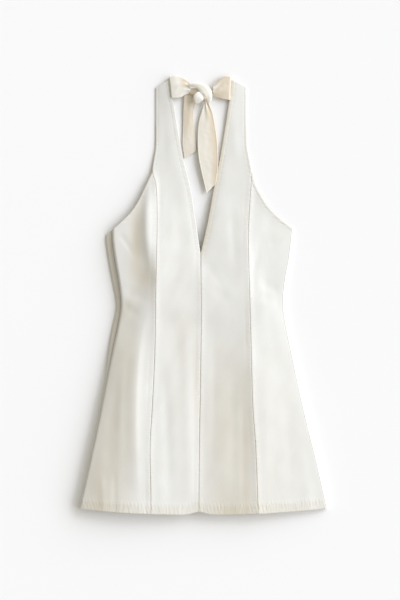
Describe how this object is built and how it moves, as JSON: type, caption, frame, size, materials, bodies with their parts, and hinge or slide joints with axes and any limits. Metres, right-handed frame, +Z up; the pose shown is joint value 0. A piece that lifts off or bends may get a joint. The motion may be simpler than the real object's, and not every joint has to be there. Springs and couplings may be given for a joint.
{
  "type": "halter dress",
  "caption": "Sleeveless off-white cotton twill halter dress with a deep V neck, princess seams, a flared skirt and cream ties knotted at the neck, laid flat on its back",
  "frame": {"origin": "middle of the dress's bounding box, on the surface that it lies on", "axes": "+X to the right as seen from the front, +Y from the hem towards the neck, +Z up off the surface, out of the front of the dress"},
  "size_m": [0.512, 0.9034, 0.023],
  "materials": {
    "twill": "matte off-white cotton twill with topstitched edges",
    "twill_back": "the same off-white cotton twill, on the back of the dress",
    "tie_cloth": "soft matte cream cotton"
  },
  "bodies": {
    "root": {"front_centre_left": "twill", "front_centre_right": "twill", "front_side_left": "twill", "front_side_right": "twill", "back_left": "twill_back", "back_right": "twill_back", "tie_band_left": "tie_cloth", "tie_band_right": "tie_cloth", "tie_knot": "tie_cloth", "tie_tail_left": "tie_cloth", "tie_tail_right": "tie_cloth"}
  },
  "joints": []
}
